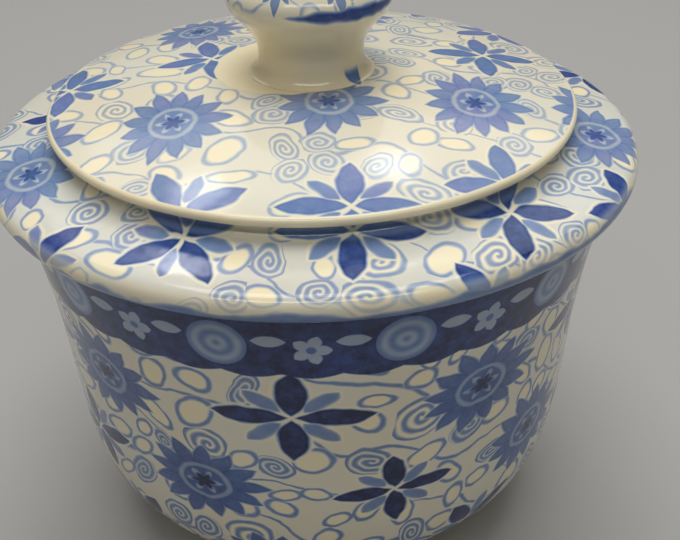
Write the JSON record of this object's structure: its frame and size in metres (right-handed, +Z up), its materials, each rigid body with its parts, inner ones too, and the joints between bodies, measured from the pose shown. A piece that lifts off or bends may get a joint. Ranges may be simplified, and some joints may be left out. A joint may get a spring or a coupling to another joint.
{
  "type": "butter crock",
  "caption": "Footed ceramic crock with a brimmed, knobbed lid; a butter cup under the lid hangs into the bowl, open downward.",
  "frame": {"origin": "centre of the foot ring's resting face, on the surface it stands on", "axes": "+Z up along the axis the pieces are turned about; +Y towards the back, +X to the right"},
  "size_m": [0.1152, 0.1152, 0.1105],
  "materials": {
    "bowl_glaze": "gloss cream glaze with a blue underglaze pattern, bare foot ring",
    "lid_glaze": "gloss cream glaze with a blue underglaze pattern, pale lip",
    "knob_glaze": "gloss cream glaze with a blue ring",
    "bell_glaze": "plain gloss cream glaze"
  },
  "bodies": {
    "crock": {"crock_body": "bowl_glaze"},
    "lid": {"lid": "lid_glaze", "lid_knob": "knob_glaze", "butter_bell": "bell_glaze"}
  },
  "joints": [
    {"name": "lid_lift", "type": "slide", "parent": "crock", "child": "lid", "axis": [0, 0, 1], "range_m": [0, 0.06]}
  ]
}
